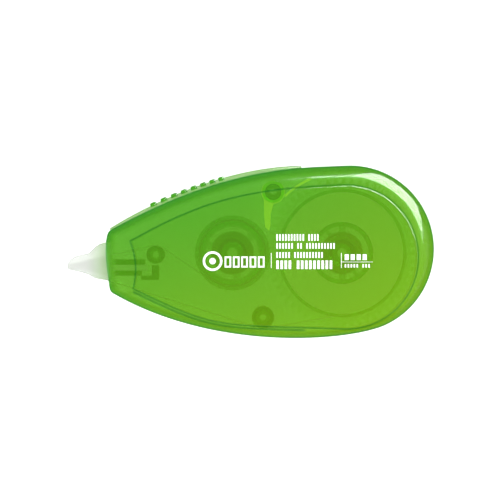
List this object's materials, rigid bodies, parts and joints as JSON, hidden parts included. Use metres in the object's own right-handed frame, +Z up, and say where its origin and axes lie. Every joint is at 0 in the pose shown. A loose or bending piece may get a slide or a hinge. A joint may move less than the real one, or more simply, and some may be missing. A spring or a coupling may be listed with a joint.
{
  "type": "correction tape roller",
  "caption": "Flat drop-shaped correction tape roller in translucent green plastic with a clear pressing tip at the nose, finger ribs on its spine and geared tape reels inside",
  "frame": {"origin": "on the supply axle's axis, at the rest face on the rear cover's raised panel", "axes": "+Z up through the thickness to the front cover, +X from the pressing tip to the round tail, +Y towards the finger ribs"},
  "size_m": [0.0859, 0.0404, 0.014],
  "materials": {
    "case_green": "glossy translucent green styrene",
    "spine_pale": "satin pale green soft plastic",
    "tip_clear": "clear frosted plastic",
    "tip_white": "milky white acetal",
    "gear_plastic": "satin moulded green",
    "reel_green": "satin translucent green",
    "tape_white": "matt white film",
    "carrier_paper": "smooth silicone-coated carrier",
    "pawl_plastic": "satin yellow acetal",
    "washer_rubber": "matt"
  },
  "bodies": {
    "case": {"rear_cover": "case_green", "front_cover": "case_green", "spine_strip": "spine_pale", "tip_holder": "tip_clear", "tip_blade": "tip_white", "drive_washer": "washer_rubber", "take_up_washer": "washer_rubber", "tape_feed_run": "tape_white", "carrier_return_run": "carrier_paper"},
    "drive": {"drive_gear": "gear_plastic", "clutch_spider": "reel_green"},
    "supply": {"supply_reel": "reel_green", "supply_tape": "tape_white", "supply_flange": "reel_green"},
    "take_up": {"take_up_pinion": "gear_plastic", "take_up_drum": "reel_green", "carrier_pack": "carrier_paper"},
    "nose_guide": {"nose_roller": "reel_green"},
    "lower_guide": {"lower_roller": "reel_green"},
    "pawl": {"ratchet_pawl": "pawl_plastic"}
  },
  "joints": [
    {"name": "drive_gear_spin", "type": "hinge", "parent": "case", "child": "drive", "pos_m": [0, 0, 0.003], "axis": [0, 0, -1], "continuous": true},
    {"name": "supply_reel_spin", "type": "hinge", "parent": "case", "child": "supply", "pos_m": [0, 0, 0.007], "axis": [0, 0, -1], "continuous": true},
    {"name": "take_up_spin", "type": "hinge", "parent": "case", "child": "take_up", "pos_m": [-0.0258, 0, 0.003], "axis": [0, 0, -1], "continuous": true},
    {"name": "nose_roller_spin", "type": "hinge", "parent": "case", "child": "nose_guide", "pos_m": [-0.0438, -0.0004, 0.007], "axis": [0, 0, -1], "continuous": true},
    {"name": "lower_roller_spin", "type": "hinge", "parent": "case", "child": "lower_guide", "pos_m": [-0.0186, -0.0151, 0.007], "axis": [0, 0, -1], "continuous": true},
    {"name": "pawl_swing", "type": "hinge", "parent": "case", "child": "pawl", "pos_m": [-0.0162, 0.0144, 0.003], "axis": [0, 0, -1], "range_deg": [0, 3.5], "stiffness_Nm_per_rad": 0.002}
  ],
  "couplings": [
    {"joint": "supply_reel_spin", "follows": "drive_gear_spin", "ratio": 1.0996},
    {"joint": "take_up_spin", "follows": "drive_gear_spin", "ratio": -1.9655},
    {"joint": "nose_roller_spin", "follows": "drive_gear_spin", "ratio": 7.4877},
    {"joint": "lower_roller_spin", "follows": "drive_gear_spin", "ratio": 6.0477}
  ]
}
